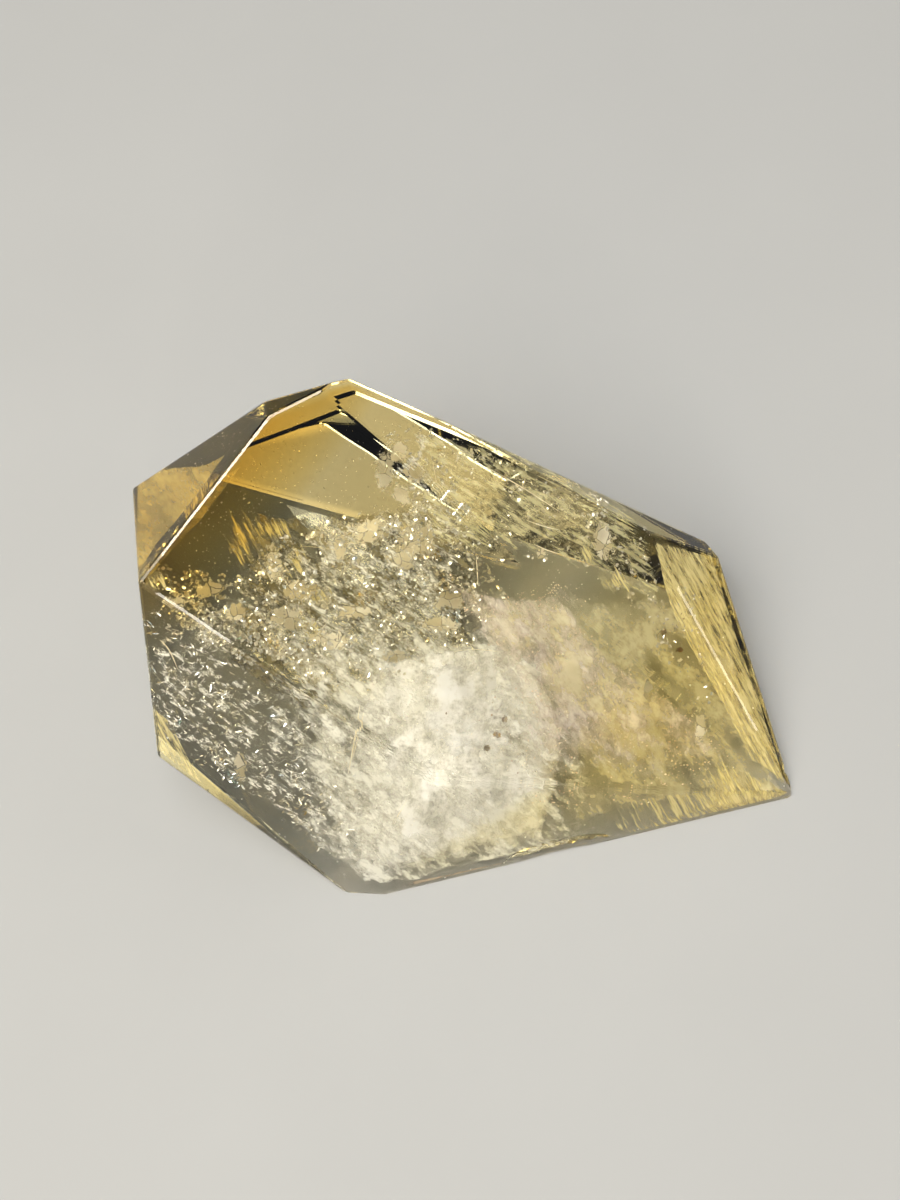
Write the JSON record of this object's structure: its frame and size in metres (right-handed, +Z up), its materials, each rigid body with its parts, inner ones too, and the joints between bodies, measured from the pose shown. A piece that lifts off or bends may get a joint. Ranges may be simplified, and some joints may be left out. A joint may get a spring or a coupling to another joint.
{
  "type": "citrine crystal",
  "caption": "Clear pale yellow citrine stone cut to flat polished facets, wedge-shaped, lying on its widest facet with a low sharp tip at one end.",
  "frame": {"origin": "middle of the footprint's bounding box, on the flat facet that the stone lies on", "axes": "+X along the stone's length towards the low sharp tip, +Y towards the steep back wall, +Z up"},
  "size_m": [0.1064, 0.0619, 0.049],
  "materials": {
    "citrine": "clear quartz, pale yellow, polished facets with crisp, very finely rounded edges"
  },
  "bodies": {
    "root": {"citrine_crystal": "citrine"}
  },
  "joints": []
}
